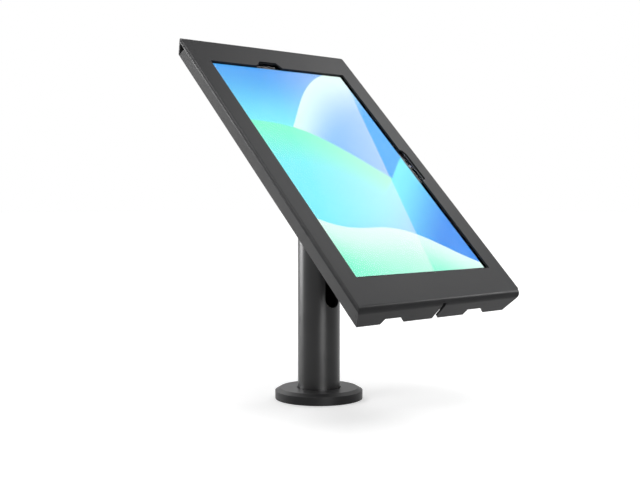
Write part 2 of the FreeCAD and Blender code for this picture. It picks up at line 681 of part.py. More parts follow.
def pivot_washer():
    ring = rod("pivot_ring", "pivot_washer_radius", "pivot_washer_thick", z="plate_back + face_gap")
    bore = rod("pivot_ring_bore", "pivot_size / 2 + running_gap", "3 * pivot_washer_thick", z="plate_back")
    keep("pivot_washer", less("pivot_spacer", ring, bore), tilted=True)


def stop_pin():
    start = "table_bottom + stop_seat"
    pin = rod("pin", "stop_size / 2", f"plate_back - ({start}) - loose_gap", y="stop_radius", z=start)
    keep("stop_pin", pin, tilted=True)


# Turning plate, with a quarter-turn slot that the stop pin runs in.
def vesa_plate():
    plate = slab("vesa", "vesa_side", "vesa_side", "vesa_thick", "vesa_corner", z="vesa_back")
    deep = "3 * vesa_thick"
    low = "vesa_back - vesa_thick"
    pivot = rod("vesa_pivot", "pivot_size / 2 + running_gap", deep, z=low)

    def hole(name, x, y):
        return rod(name, "vesa_hole / 2", deep, x, y, low)

    wide = on_square("vesa_wide_hole", "vesa_wide", hole)
    narrow = on_square("vesa_narrow_hole", "vesa_narrow", hole)
    half = "(stop_size / 2 + stop_slack)"
    outer = rod("arc_outer", f"stop_radius + {half}", deep, z=low)
    inner = rod("arc_inner", f"stop_radius - {half}", "5 * vesa_thick", z="vesa_back - 2 * vesa_thick")
    quarter = box("arc_quarter", "0", "0", low, "2 * stop_radius", "2 * stop_radius", deep)
    arc = both("arc", less("arc_ring", outer, inner), quarter)
    end_up = rod("arc_end_up", half, deep, "0", "stop_radius", low)
    end_side = rod("arc_end_side", half, deep, "stop_radius", "0", low)
    keep("vesa_plate", less("vesa_drilled", plate, pivot, arc, end_up, end_side, *wide, *narrow), tilted=True)


def vesa_screws():
    def screw(name, x, y):
        top = "plate_front + press_nut_thick"
        head = rod(name + "_head", "vesa_screw_head", "vesa_screw_head_thick", x, y,
                   "vesa_back - vesa_screw_head_thick")
        shank = rod(name + "_shank", "vesa_screw / 2", f"{top} - vesa_back + overlap", x, y,
                    "vesa_back - overlap")
        key = hexagon(name + "_key", "vesa_screw / 3", "vesa_screw_head_thick", x, y,
                      "vesa_back - 3 * vesa_screw_head_thick / 2")
        return less(name, join(name + "_solid", head, shank), key)

    keep("vesa_screws", group("plate_screws", *on_square("plate_screw", "vesa_wide", screw)), tilted=True)


# Back plate, hooked into the cover's top flange by two tabs.
def back_plate():
    low = "plate_back - plate_thick"
    deep = "3 * plate_thick"
    plate = slab("back", "2 * plate_half_width", "plate_high + plate_low", "plate_thick", "plate_corner",
                 y="(plate_high - plate_low) / 2", z="plate_back")
    tabs = [centred_box(f"back_tab_{side + 1}", f"{side} * tab_place", "plate_high + tab_reach / 2",
                        "plate_back", "tab_width", "plate_top_gap * 2 + tab_reach", "plate_thick")
            for side in (-1, 1)]
    solid = join("back_solid", plate, *tabs)
    centre = rod("back_centre", "pivot_window", deep, z=low)

    def nut_hole(name, x, y):
        return rod(name, "vesa_screw / 2 + press_nut_wall", deep, x, y, low)

    nuts = on_square("back_nut_hole", "vesa_wide", nut_hole)
    cable = slot("back_cable", "cable_window_width", "cable_window_height", deep, "0",
                 "-(cable_window_drop)", low)
    vents = [tall_slot(f"back_vent_{i + 3}", "vent_width", "vent_height", deep, f"{i} * vent_pitch",
                       "vent_rise", low) for i in range(-3, 4)]
    lock = rod("back_lock_hole", "lock_radius + running_gap", deep, "lock_place", "-(lock_drop)", low)
    keep("back_plate", less("back_drilled", solid, centre, cable, lock, *nuts, *vents), tilted=True)


def press_nuts():
    def nut(name, x, y):
        collar = rod(name + "_collar", "vesa_screw / 2 + press_nut_wall - running_gap",
                     "plate_thick + overlap", x, y, "plate_back")
        head = rod(name + "_head", "press_nut_radius", "press_nut_thick", x, y, "plate_front")
        bore = rod(name + "_bore", "vesa_screw / 2 + running_gap", "4 * press_nut_thick", x, y,
                   "plate_back - press_nut_thick")
        return less(name, join(name + "_solid", collar, head), bore)

    keep("press_nuts", group("nuts", *on_square("press_nut", "vesa_wide", nut)), tilted=True)


# Tablet.
def tablet_housing():
    body = slab("tablet", "tablet_wide", "tablet_long", "tablet_thick", "tablet_corner",
                y="tablet_centre", z="tablet_back")
    hollow = slab("tablet_hollow", "tablet_wide - 2 * tablet_wall", "tablet_long - 2 * tablet_wall",
                  "tablet_thick", "tablet_corner - tablet_wall", y="tablet_centre", z="tray_floor")
    socket = slot("tablet_socket", "socket_width", "socket_height", "4 * tablet_wall", "0", "0",
                  "-2 * tablet_wall")
    socket.Placement = ALONG["y"]
    place(socket, "0", "tablet_foot", "(tablet_back + glass_back) / 2")
    lens = rod("tablet_lens_hole", "rear_lens_radius + face_gap", "3 * tablet_floor",
               "tablet_wide / 2 - rear_lens_inset", "tablet_end - rear_lens_inset",
               "tablet_back - tablet_floor")
    keys = [key_box(name + "_hole", name, "face_gap") for name in ("power", "volume")]
    keep("tablet_housing", less("tablet_tray", body, hollow, socket, lens, *keys), tilted=True)


def tablet_glass():
    margin = "2 * (tablet_wall + glass_fit)"
    glass = slab("glass", f"tablet_wide - {margin}", f"tablet_long - {margin}", "glass_thick",
                 "tablet_corner - tablet_wall", y="tablet_centre", z="glass_back")
    keep("tablet_glass", glass, tilted=True)


def tablet_display():
    panel = centred_box("panel", "0", "tablet_centre", "screen_back", "screen_wide", "screen_long",
                        "screen_thick")
    keep("tablet_display", panel, tilted=True)


def tablet_battery():
    cell = centred_box("cell", "0", "tablet_centre - board_long / 2", "tray_floor", "battery_wide",
                       "battery_long", "battery_thick")
    keep("tablet_battery", cell, tilted=True)


def tablet_board():
    board = centred_box("board", "0", "tablet_centre + (battery_long + face_gap) / 2 + face_gap",
                        "tray_floor", "battery_wide", "board_long", "board_thick")
    keep("tablet_board", board, tilted=True)


def front_camera():
    lens = rod("front_lens", "lens_radius", "screen_thick", "tablet_wide / 2 - lens_edge", "tablet_centre",
               "screen_back")
    keep("front_camera", lens, tilted=True)


def rear_camera():
    lens = rod("rear_lens", "rear_lens_radius", "rear_lens_proud + 2 * tablet_floor",
               "tablet_wide / 2 - rear_lens_inset", "tablet_end - rear_lens_inset",
               "tablet_back - rear_lens_proud")
    keep("rear_camera", lens, tilted=True)


# Keys in the tablet's upper end.
def key_box(name, key, extra="0"):
    centre = "(tablet_back + glass_back) / 2"
    return centred_box(name, f"{key}_place", "tablet_end - tablet_wall / 2 + key_proud / 2",
                       f"{centre} - key_depth / 2 - {extra}", f"{key}_length + 2 * {extra}",
                       "tablet_wall + key_proud", f"key_depth + 2 * {extra}")


def tablet_key(node, key):
    keep(node, key_box(node + "_cap", key), tilted=True)


# Soft pads.
def back_pads():
    x = "(tablet_wide / 2 - pad_inset - pad_wide / 2)"
    y = "(tablet_long / 2 - pad_inset - pad_long / 2)"
    pads = []
    for i, (sx, sy) in enumerate(SIGNS):
        under_lens = "rear_lens_proud" if (sx, sy) == (1, 1) else "0"
        pads.append(centred_box(f"pad_{i}", f"{sx} * {x}", f"tablet_centre + {sy} * {y}", "plate_front",
                                "pad_wide", "pad_long",
                                f"tablet_back - plate_front - pad_gap - {under_lens}"))
    keep("back_pads", group("pads", *pads), tilted=True)


def end_blocks():
    height = "face_height - stop_short - plate_front"
    blocks = []
    for i, (sx, sy) in enumerate(SIGNS):
        end = "tablet_end + pad_gap" if sy > 0 else "tablet_foot - pad_gap"
        blocks.append(centred_box(f"end_block_{i}", f"{sx} * (stop_place)", f"{end} + {sy} * stop_long / 2",
                                  "plate_front", "stop_wide", "stop_long", height))
    keep("end_blocks", group("blocks", *blocks), tilted=True)


# Foam strips glued inside the cover's leaning sides.
def side_foam():
    strips = []
    for i, (sx, sy) in enumerate(SIGNS):
        inner = f"{sx} * (tablet_wide / 2 + pad_gap)"
        wall = f"{sx} * (cover_half_width - side_wall - taper_slope * (cover_sheet + strip_drop"
        high = "cover_inside - strip_drop"
        low = "cover_inside - strip_drop - strip_tall"
        corners = [(inner, low), (f"{wall} + strip_tall))", low), (f"{wall}))", high), (inner, high)]
        strips.append(prism(f"side_strip_{i}", "front", corners, f"{sy} * strip_place - strip_long / 2",
                            "strip_long"))
    keep("side_foam", group("strips", *strips), tilted=True)


# Front cover: two bent sections, one across and one along, meet at mitred corners.
def cover_block(name, shrink, wall, back):
    across = doc.addObject("PartDesign::Body", name + "_across")
    sketch = body_sketch(across, name + "_across_sketch", "XZ_Plane")
    top = f"face_height - {shrink}"
    half = f"(cover_half_width - {wall})"
    front_half = f"{half} - taper_slope * {shrink}"
    back_half = f"{half} - taper_slope * (face_height - ({back}))"
    outline(sketch, [(f"-({front_half})", top), (front_half, top), (back_half, back),
                     (f"-({back_half})", back)])
    base = pad(across, sketch, "2 * cover_height", symmetric=True)
    front_edge = sheet.face_height - (sheet.cover_sheet if shrink != "0" else 0) - CLOSE

    def side_edge(edge):
        return edge.BoundBox.ZMin > front_edge and edge.BoundBox.YLength > LONG_EDGE

    def end_edge(edge):
        return edge.BoundBox.ZMin > front_edge and edge.BoundBox.XLength > LONG_EDGE

    round_edges(across, base, side_edge, f"side_bend - {shrink}")
    along = doc.addObject("PartDesign::Body", name + "_along")
    sketch = body_sketch(along, name + "_along_sketch", "YZ_Plane")
    outline(sketch, [(f"cover_top - {shrink}", top), (f"-(cover_bottom - {shrink})", top),
                     (f"-(cover_bottom - {shrink})", back), (f"cover_top - {shrink}", back)])
    base = pad(along, sketch, "4 * cover_half_width", symmetric=True)
    round_edges(along, base, end_edge, f"end_bend - {shrink}")
    return both(name, across, along)


def window_outline():
    left = "-(window_width) / 2"
    right = "window_width / 2"
    low = "window_centre - window_height / 2"
    high = "window_centre + window_height / 2"
    notch_top = f"{high} + sensor_notch_depth"
    notch_side = f"{right} + camera_notch_depth"
    return [(left, low), (right, low),
            (right, "-camera_notch_down - camera_notch_fall"), (notch_side, "-camera_notch_down"),
            (notch_side, "camera_notch_up"),
            (f"{right} + camera_notch_depth / 2", "camera_notch_up + camera_notch_step"),
            (right, "camera_notch_up + camera_notch_run"), (right, high),
            ("sensor_notch_run - sensor_notch_right", high), ("-sensor_notch_right", notch_top),
            ("-sensor_notch_left", notch_top), ("-sensor_notch_left - sensor_notch_depth", high),
            (left, high)]


# Trims one end of a flange back to a line that leans in from the face to the cover's back.
def flange_end(name, sign, half, lean, start, length):
    slope = f"{lean} / cover_depth"
    corners = [(f"{sign} * ({half} + {slope} * overlap)", "face_height + overlap"),
               (f"{sign} * 2 * cover_half_width", "face_height + overlap"),
               (f"{sign} * 2 * cover_half_width", "cover_back - overlap"),
               (f"{sign} * ({half} - {lean} - {slope} * overlap)", "cover_back - overlap")]
    return prism(name, "front", corners, start, length)


def bottom_notch(name, centre):
    floor = "cover_back + flange_notch_depth"
    below = "cover_back - flange_notch_depth"
    stretch = "2 * flange_notch_slope"
    corners = [(f"{centre} - flange_notch_width / 2 - 2 * flange_notch_lead", below),
               (f"{centre} + flange_notch_width / 2 + {stretch}", below),
               (f"{centre} + flange_notch_width / 2", floor),
               (f"{centre} - flange_notch_width / 2", floor)]
    return prism(name, "front", corners, "-cover_bottom - cover_sheet", "3 * cover_sheet")


def front_cover():
    outside = cover_block("cover_outside", "0", "0", "cover_back")
    inside = cover_block("cover_inside_block", "cover_sheet", "side_wall", "cover_back - cover_sheet")
    window = prism("cover_window", "top", window_outline(), "cover_inside - cover_sheet", "3 * cover_sheet")
    cut_top = "cover_top - cover_sheet"
    cut_front = "face_height - corner_cut_start"
    cut_back = "face_height - corner_cut_end"
    corner = prism("cover_corner_cut", "side",
                   [(f"{cut_top} - corner_cut_run", cut_front), (cut_top, cut_front), (cut_top, cut_back)],
                   "-2 * cover_half_width", "4 * cover_half_width")
    slit = box("cover_flange_slit", "-2 * cover_half_width", "bottom_inside", "cover_back - overlap",
               "4 * cover_half_width", "flange_slit", "cover_depth - end_bend")
    left = bottom_notch("cover_notch_left", "-flange_notch_left")
    right = bottom_notch("cover_notch_right", "flange_notch_right")
    split_right = "split_width - split_left"
    split = prism("cover_split", "front",
                  [("-split_left", "face_height - split_start"),
                   (split_right, "face_height - split_start"),
                   (split_right, "cover_back + split_flare_height"),
                   (f"{split_right} + 2 * split_flare_width", "cover_back - split_flare_height"),
                   ("-split_left", "cover_back - split_flare_height")],
                  "-cover_bottom - cover_sheet", "3 * cover_sheet")
    top_ends = [flange_end(f"cover_top_end_{sign + 1}", sign, "top_end_half_width", "top_end_lean",
                           "cover_top - end_bend", "2 * end_bend") for sign in (-1, 1)]
    right_end = flange_end("cover_right_end", 1, "right_end_half_width", "right_end_lean",
                           "-cover_bottom - end_bend", "2 * end_bend")
    trim_reach = "2 * cover_half_width"
    trim = prism("cover_right_trim", "top",
                 [("right_end_half_width", "end_bend - cover_bottom"), (trim_reach, "-2 * cover_bottom"),
                  (trim_reach, f"{trim_reach} - (right_end_half_width) + end_bend - cover_bottom")],
                 "cover_inside - cover_sheet", "3 * cover_sheet")
    slots = [centred_box(f"cover_tab_slot_{side + 1}", f"{side} * tab_place", "cover_top",
                         "plate_middle - tab_slot / 2", "tab_width + 2 * loose_gap", "4 * cover_sheet",
                         "tab_slot") for side in (-1, 1)]
    cover = less("cover", outside, inside, window, corner, slit, left, right, split, right_end, trim,
                 *top_ends, *slots)
    keep("front_cover", cover, tilted=True)


# Latch rail, spot-welded inside the bottom flange: the lock's cam turns over its lip.
def latch_rail():
    left = "lock_place - rail_length / 2"
    leg = box("rail_leg", left, "bottom_inside", "face_height - rail_end", "rail_length", "rail_sheet",
              "rail_top - face_height + rail_end")
    lip = box("rail_lip_sheet", left, "bottom_inside", "rail_top - rail_sheet", "rail_length", "rail_lip",
              "rail_sheet")
    keep("latch_rail", join("rail", leg, lip), tilted=True)


# Cam lock.
LOCK_AXIS = ("lock_place", "-(lock_drop)")


def lock_body():
    rim = rod("lock_rim_disc", "lock_rim", "lock_rim_thick", *LOCK_AXIS, "plate_back - lock_rim_thick")
    barrel = rod("lock_barrel", "lock_radius", "lock_stem - plate_back + overlap", *LOCK_AXIS,
                 "plate_back - overlap")
    bore = rod("lock_bore", "plug_radius + running_gap", "2 * cover_depth", *LOCK_AXIS,
               "plate_back - lock_rim_thick - overlap")
    keep("lock_body", less("lock", join("lock_solid", rim, barrel), bore), tilted=True)


def lock_nut():
    nut = hexagon("lock_nut_body", "lock_nut_radius", "lock_nut_thick", *LOCK_AXIS, "plate_front")
    bore = rod("lock_nut_bore", "lock_radius + running_gap", "3 * lock_nut_thick", *LOCK_AXIS,
               "plate_front - lock_nut_thick")
    keep("lock_nut", less("lock_ring", nut, bore), tilted=True)


def lock_plug():
    low = "plate_back - lock_rim_thick"
    plug = rod("plug_rod", "plug_radius", f"cam_back - ({low})", *LOCK_AXIS, low)
    key = centred_box("plug_key", *LOCK_AXIS, f"{low} - overlap", "key_slot_width", "key_slot_length",
                      "key_slot_depth + overlap")
    keep("lock_plug", less("plug", plug, key), tilted=True)


def lock_cam():
    hub = rod("cam_hub", "cam_radius", "cam_thick", *LOCK_AXIS, "cam_back")
    arm = box("cam_arm", "lock_place", "-(lock_drop) - cam_radius", "cam_back", "cam_reach",
              "2 * cam_radius", "cam_thick")
    keep("lock_cam", join("cam", hub, arm), tilted=True)


def cam_screw():
    head = rod("cam_head", "cam_screw_radius", "cam_screw_thick", *LOCK_AXIS, "cam_front")
    key = hexagon("cam_key", "cam_screw_radius / 2", "cam_screw_thick", *LOCK_AXIS,
                  "cam_front + cam_screw_thick / 2")
    keep("cam_screw", less("cam_cap", head, key), tilted=True)


for build in (counter_gasket, mounting_flange, base_cover, pole_tube, hinge_post, grub_screws, hinge_bolt,
              hinge_nut, hinge_washers, tilt_knuckle, friction_discs, glide_ring, pivot_bolt, pivot_washer,
              stop_pin, vesa_plate, vesa_screws, back_plate, press_nuts, tablet_housing, tablet_glass,
              tablet_display, tablet_battery, tablet_board, front_camera, rear_camera, back_pads, end_blocks,
              side_foam, front_cover, latch_rail, lock_body, lock_nut, lock_plug, lock_cam, cam_screw):
    build()
tablet_key("power_button", "power")
tablet_key("volume_button", "volume")
doc.recompute()

# Nothing is written unless every feature and every sub-part is sound.
faults = [thing.Label for thing in doc.Objects if {"Invalid", "Error"} & set(thing.State)]
for node, solid in NODES.items():
    if solid.Shape.isNull() or not solid.Shape.isValid() or not solid.Shape.Solids:
        faults.append(node)
if faults:
    sys.exit("unsound: " + ", ".join(faults))

os.makedirs("parts", exist_ok=True)
for node, solid in NODES.items():
    solid.Shape.exportStep(f"parts/{node}.step")
    print(node, len(solid.Shape.Solids), round(solid.Shape.Volume), "mm3")
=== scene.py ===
"""Finish, dressed pieces, light and camera of the tablet enclosure on its counter pole."""
import math

import bmesh
import bpy
from mathutils import Matrix, Vector


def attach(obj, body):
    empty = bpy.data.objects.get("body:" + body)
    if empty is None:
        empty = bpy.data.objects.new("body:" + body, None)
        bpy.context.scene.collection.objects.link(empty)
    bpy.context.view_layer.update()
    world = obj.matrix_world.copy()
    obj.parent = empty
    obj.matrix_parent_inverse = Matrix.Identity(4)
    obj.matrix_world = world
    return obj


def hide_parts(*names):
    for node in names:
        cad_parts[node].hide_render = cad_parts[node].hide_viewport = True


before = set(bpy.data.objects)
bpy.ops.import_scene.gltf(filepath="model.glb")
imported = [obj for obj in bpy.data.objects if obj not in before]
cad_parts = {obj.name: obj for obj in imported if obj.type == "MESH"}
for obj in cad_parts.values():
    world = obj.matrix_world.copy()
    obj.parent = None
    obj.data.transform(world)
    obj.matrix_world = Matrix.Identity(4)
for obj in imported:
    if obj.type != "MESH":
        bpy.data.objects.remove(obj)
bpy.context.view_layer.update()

MM = 0.001

# The head's own axes: x across, v up the screen, h out of the screen, from the tilt axis.
TILT_HEIGHT = 192.3 * MM
LEAN = math.radians(45)
UP_SCREEN = Vector((0, math.cos(LEAN), math.sin(LEAN)))
OUT_OF_SCREEN = Vector((0, -math.sin(LEAN), math.cos(LEAN)))
TILT_AXIS = Vector((0, 0, TILT_HEIGHT))
HEAD_AXES = Matrix((Vector((1, 0, 0)), UP_SCREEN, OUT_OF_SCREEN)).transposed()


def from_head(point):
    return TILT_AXIS + HEAD_AXES @ Vector(point)


def to_head(point):
    return HEAD_AXES.transposed() @ (Vector(point) - TILT_AXIS)


def srgb(red, green, blue):
    """A colour written as the 0 to 255 values of a screen, as linear light."""
    linear = []
    for level in (red, green, blue):
        level /= 255
        linear.append(level / 12.92 if level <= 0.04045 else ((level + 0.055) / 1.055) ** 2.4)
    return (*linear, 1.0)


def toned(colour, factor):
    """A colour made darker or paler by a factor."""
    return (*(factor * level for level in colour[:3]), 1.0)


WHITE = (1, 1, 1, 1)
BEVEL_SAMPLES = 8

# Most of a noise texture's values lie between these two.
NOISE_LOW = 0.3
NOISE_HIGH = 0.7


class Finish:
    """A procedural material: a principled shader and the nodes that feed it."""

    def __init__(self, name, **constants):
        self.data = bpy.data.materials.new(name)
        self.data.use_nodes = True
        self.tree = self.data.node_tree
        self.shader = self.tree.nodes["Principled BSDF"]
        self.place = self.node("TexCoord").outputs["Object"]
        for socket_name, value in constants.items():
            self.put(socket_name.replace("_", " "), value)

    def put(self, name, value):
        self.join(self.shader.inputs[name], value)

    def join(self, socket, value):
        """Links a socket to another node's output, or sets it to a constant."""
        if isinstance(value, bpy.types.NodeSocket):
            self.tree.links.new(value, socket)
        else:
            socket.default_value = value

    def node(self, kind, inputs=None, **settings):
        made = self.tree.nodes.new("ShaderNode" + kind)
        for name, value in settings.items():
            setattr(made, name, value)
        for name, value in (inputs or {}).items():
            self.join(made.inputs[name], value)
        return made

    def math(self, operation, first, second=0.0, third=0.0):
        return self.node("Math", {0: first, 1: second, 2: third}, operation=operation).outputs[0]

    def noise(self, grain, detail=2.0, place=None):
        """Noise whose spots are about grain metres across, from 0 to 1."""
        inputs = {"Vector": place or self.place, "Scale": 1 / grain, "Detail": detail}
        return self.node("TexNoise", inputs).outputs["Fac"]

    def span(self, value, low, high, to_low=0.0, to_high=1.0, smooth=False):
        """A value that goes from to_low to to_high while another goes from low to high."""
        kind = "SMOOTHSTEP" if smooth else "LINEAR"
        inputs = {"Value": value, "From Min": low, "From Max": high, "To Min": to_low, "To Max": to_high}
        return self.node("MapRange", inputs, interpolation_type=kind).outputs["Result"]

    def blend(self, share, first, second):
        """A colour between two, by sockets 0, 6 and 7 of the mix node: its share and its colours."""
        return self.node("Mix", {0: share, 6: first, 7: second}, data_type="RGBA").outputs[2]

    def bump(self, height, depth, normal=None):
        inputs = {"Height": height, "Distance": depth}
        if normal is not None:
            inputs["Normal"] = normal
        return self.node("Bump", inputs).outputs["Normal"]

    def soft_edges(self, radius):
        """The surface's normal, with its edges rounded to a radius."""
        return self.node("Bevel", {"Radius": radius}, samples=BEVEL_SAMPLES).outputs["Normal"]

    def edge_share(self, radius, start, end):
        """1 on sharp edges and 0 on flats."""
        normals = {0: self.soft_edges(radius), 1: self.node("NewGeometry").outputs["Normal"]}
        turn = self.node("VectorMath", normals, operation="DOT_PRODUCT").outputs["Value"]
        return self.span(self.math("SUBTRACT", 1.0, turn), start, end)


# Powder coat: clouds of tone, a fine grain, and a painted highlight that makes the edges paler.
COAT_CLOUD = 30 * MM
COAT_PALER = 1.12
COAT_GRAIN = 0.7 * MM
COAT_GRAIN_DEPTH = 0.006 * MM
COAT_ROUGHER = 0.1
COAT_EDGE = 0.4 * MM
EDGE_HIGHLIGHT_WIDTH = 0.5 * MM
EDGE_HIGHLIGHT_START = 0.02
EDGE_HIGHLIGHT_END = 0.2
EDGE_HIGHLIGHT_SHARE = 0.45


def powder_coat(name, colour, edge_highlight_colour, shine, roughness):
    """Fine textured black powder coat on sheet metal and tube, with a painted highlight on its edges."""
    coat = Finish(name, IOR=1.5, Specular_IOR_Level=shine)
    cloud = coat.noise(COAT_CLOUD)
    tone = coat.blend(coat.span(cloud, NOISE_LOW, NOISE_HIGH), colour, toned(colour, COAT_PALER))
    # Painted highlight: sharp edges are painted paler, as if they caught the light.
    edge = coat.edge_share(EDGE_HIGHLIGHT_WIDTH, EDGE_HIGHLIGHT_START, EDGE_HIGHLIGHT_END)
    coat.put("Base Color", coat.blend(coat.math("MULTIPLY", edge, EDGE_HIGHLIGHT_SHARE), tone, edge_highlight_colour))
    grain = coat.noise(COAT_GRAIN, detail=1)
    both = coat.math("ADD", grain, cloud)
    rougher = roughness + COAT_ROUGHER
    coat.put("Roughness", coat.span(both, 2 * NOISE_LOW, 2 * NOISE_HIGH, roughness, rougher))
    coat.put("Normal", coat.bump(grain, COAT_GRAIN_DEPTH, coat.soft_edges(COAT_EDGE)))
    return coat.data


METAL_CLOUD = 12 * MM
METAL_DARKER = 0.82
METAL_SMOOTHER = 0.05
METAL_ROUGHER = 0.07
METAL_EDGE = 0.2 * MM


def metal(name, colour, roughness, grain, depth, stretch=(1, 1, 1)):
    """Bare or plated metal; stretch draws the grain out into brushing."""
    made = Finish(name, Metallic=1.0)
    place = made.node("Mapping", {"Vector": made.place, "Scale": stretch}).outputs["Vector"]
    fine = made.noise(grain, place=place)
    slow = made.noise(METAL_CLOUD)
    made.put("Base Color", made.blend(slow, toned(colour, METAL_DARKER), colour))
    smooth, rough = roughness - METAL_SMOOTHER, roughness + METAL_ROUGHER
    made.put("Roughness", made.span(fine, NOISE_LOW, NOISE_HIGH, smooth, rough))
    made.put("Normal", made.bump(fine, depth, made.soft_edges(METAL_EDGE)))
    return made.data


PLASTIC_CLOUD = 15 * MM
PLASTIC_PALER = 1.25
PLASTIC_VARIES = 0.06
PLASTIC_EDGE = 0.3 * MM


def plastic(name, colour, roughness, grain, depth, shine=0.5):
    made = Finish(name, Specular_IOR_Level=shine)
    fine = made.noise(grain)
    slow = made.noise(PLASTIC_CLOUD)
    paler = toned(colour, PLASTIC_PALER)
    made.put("Base Color", made.blend(made.math("MULTIPLY", fine, slow), colour, paler))
    smooth, rough = roughness - PLASTIC_VARIES, roughness + PLASTIC_VARIES
    made.put("Roughness", made.span(fine, NOISE_LOW, NOISE_HIGH, smooth, rough))
    made.put("Normal", made.bump(fine, depth, made.soft_edges(PLASTIC_EDGE)))
    return made.data


FOAM_CELL = 0.9 * MM
FOAM_PORE_START = 0.15
FOAM_PORE_END = 0.75
FOAM_PORE_SHADE = 0.45
FOAM_PORE_DEPTH = 0.25 * MM
FOAM_CLOUD = 9 * MM
FOAM_CLOUD_SHARE = 0.3


def open_cell_foam(name, colour):
    """Cut open-cell foam: small round pores painted darker as shade, with paler webs."""
    made = Finish(name, Roughness=0.95, Specular_IOR_Level=0.1, Sheen_Weight=0.15)
    cells = made.node("TexVoronoi", {"Vector": made.place, "Scale": 1 / FOAM_CELL})
    pore = made.span(cells.outputs["Distance"], FOAM_PORE_START, FOAM_PORE_END)
    tone = made.math("MULTIPLY_ADD", made.noise(FOAM_CLOUD), FOAM_CLOUD_SHARE, pore)
    # Painted shade: the sunken pores are darker than the webs between them.
    made.put("Base Color", made.blend(tone, toned(colour, FOAM_PORE_SHADE), colour))
    made.put("Normal", made.bump(pore, FOAM_PORE_DEPTH))
    return made.data


GLASS_SMEAR = 40 * MM
GLASS_TINT = (0.97, 0.985, 1, 1)


def clear_glass(name):
    """Thin clear glass, with an IOR so low that the screen shows almost without reflections."""
    glass = Finish(name, IOR=1.06, Roughness=0.02, Transmission_Weight=1.0)
    glass.put("Base Color", glass.blend(glass.noise(GLASS_SMEAR, detail=3), GLASS_TINT, WHITE))
    return glass.data


LENS_RINGS = 260


def lens_glass(name):
    """Dark coated glass with faint rings."""
    lens = Finish(name, IOR=1.6, Roughness=0.06, Coat_Weight=1.0, Coat_Roughness=0.03)
    rings = lens.node("TexWave", {"Vector": lens.place, "Scale": LENS_RINGS}, wave_type="RINGS")
    lens.put("Base Color", lens.blend(rings.outputs["Fac"], srgb(8, 10, 16), srgb(20, 24, 40)))
    return lens.data


BOARD_RUNS = 260
BOARD_RUN_WIDTH = 0.03
BOARD_PARTS = 150
BOARD_PART_SIZE = 0.22
BOARD_ROUGH = 0.35
BOARD_PART_ROUGH = 0.6
BOARD_RELIEF = 0.15 * MM


def circuit_board(name):
    """Solder mask with copper runs and small parts."""
    board = Finish(name)
    bricks = {"Vector": board.place, "Scale": BOARD_RUNS, "Mortar Size": BOARD_RUN_WIDTH}
    runs = board.node("TexBrick", bricks).outputs["Fac"]
    cells = board.node("TexVoronoi", {"Vector": board.place, "Scale": BOARD_PARTS}, distance="CHEBYCHEV")
    chip = board.math("LESS_THAN", cells.outputs["Distance"], BOARD_PART_SIZE)
    mask = board.blend(runs, srgb(10, 52, 34), srgb(30, 96, 60))
    board.put("Base Color", board.blend(chip, mask, srgb(24, 24, 26)))
    board.put("Roughness", board.span(chip, 0, 1, BOARD_ROUGH, BOARD_PART_ROUGH))
    board.put("Normal", board.bump(board.math("ADD", chip, runs), BOARD_RELIEF))
    return board.data


WRAP_CRINKLE = 7 * MM
WRAP_CRINKLE_DEPTH = 0.3 * MM
WRAP_EDGE = 0.4 * MM


def battery_wrap(name):
    """Dark film, lightly crinkled."""
    wrap = Finish(name, Roughness=0.38)
    crinkle = wrap.noise(WRAP_CRINKLE, detail=4)
    wrap.put("Base Color", wrap.blend(crinkle, srgb(30, 31, 34), srgb(52, 53, 58)))
    wrap.put("Normal", wrap.bump(crinkle, WRAP_CRINKLE_DEPTH, wrap.soft_edges(WRAP_EDGE)))
    return wrap.data


# Screen picture: a generic design of soft hills in blues, cyan and mint.
SKY = srgb(58, 144, 240)
AZURE = srgb(84, 176, 252)
CYAN = srgb(126, 240, 255)
MINT = srgb(128, 250, 208)
MIST = srgb(222, 255, 244)
SCREEN_OFF = (0.01, 0.01, 0.012, 1)

# The sky goes from blue at its top to cyan, with a slow drift of tone.
SKY_TOP = 141 * MM
SKY_FOOT = 20 * MM
SKY_DRIFT = 140 * MM
SKY_DRIFT_SHARE = 0.35

# Hills from back to front. A crest line has a height, a slope, and a wave with its swing, length and
# phase. Below it, the colour goes from the first to the second over the hill's reach.
CREST_SOFT = 0.15 * MM
HILLS = [
    (88 * MM, 0.75, 14 * MM, 210 * MM, 0.6, 75 * MM, MIST, AZURE),
    (18 * MM, -0.55, 17 * MM, 230 * MM, 2.1, 80 * MM, MINT, CYAN),
    (-40 * MM, 0.5, 13 * MM, 190 * MM, 4.4, 95 * MM, CYAN, SKY),
    (-92 * MM, -0.35, 10 * MM, 170 * MM, 1.0, 60 * MM, MIST, MINT),
]

# A painted glare, a painted reflection of a lamp in the glass, lies pale over the picture, left of a
# slanted straight edge.
GLARE_EDGE_START = 53.6 * MM
GLARE_EDGE_SLOPE = 0.28
GLARE_REACH = 110 * MM
GLARE_SHARE = 0.36
GLARE_EDGE_SOFT = 0.2 * MM


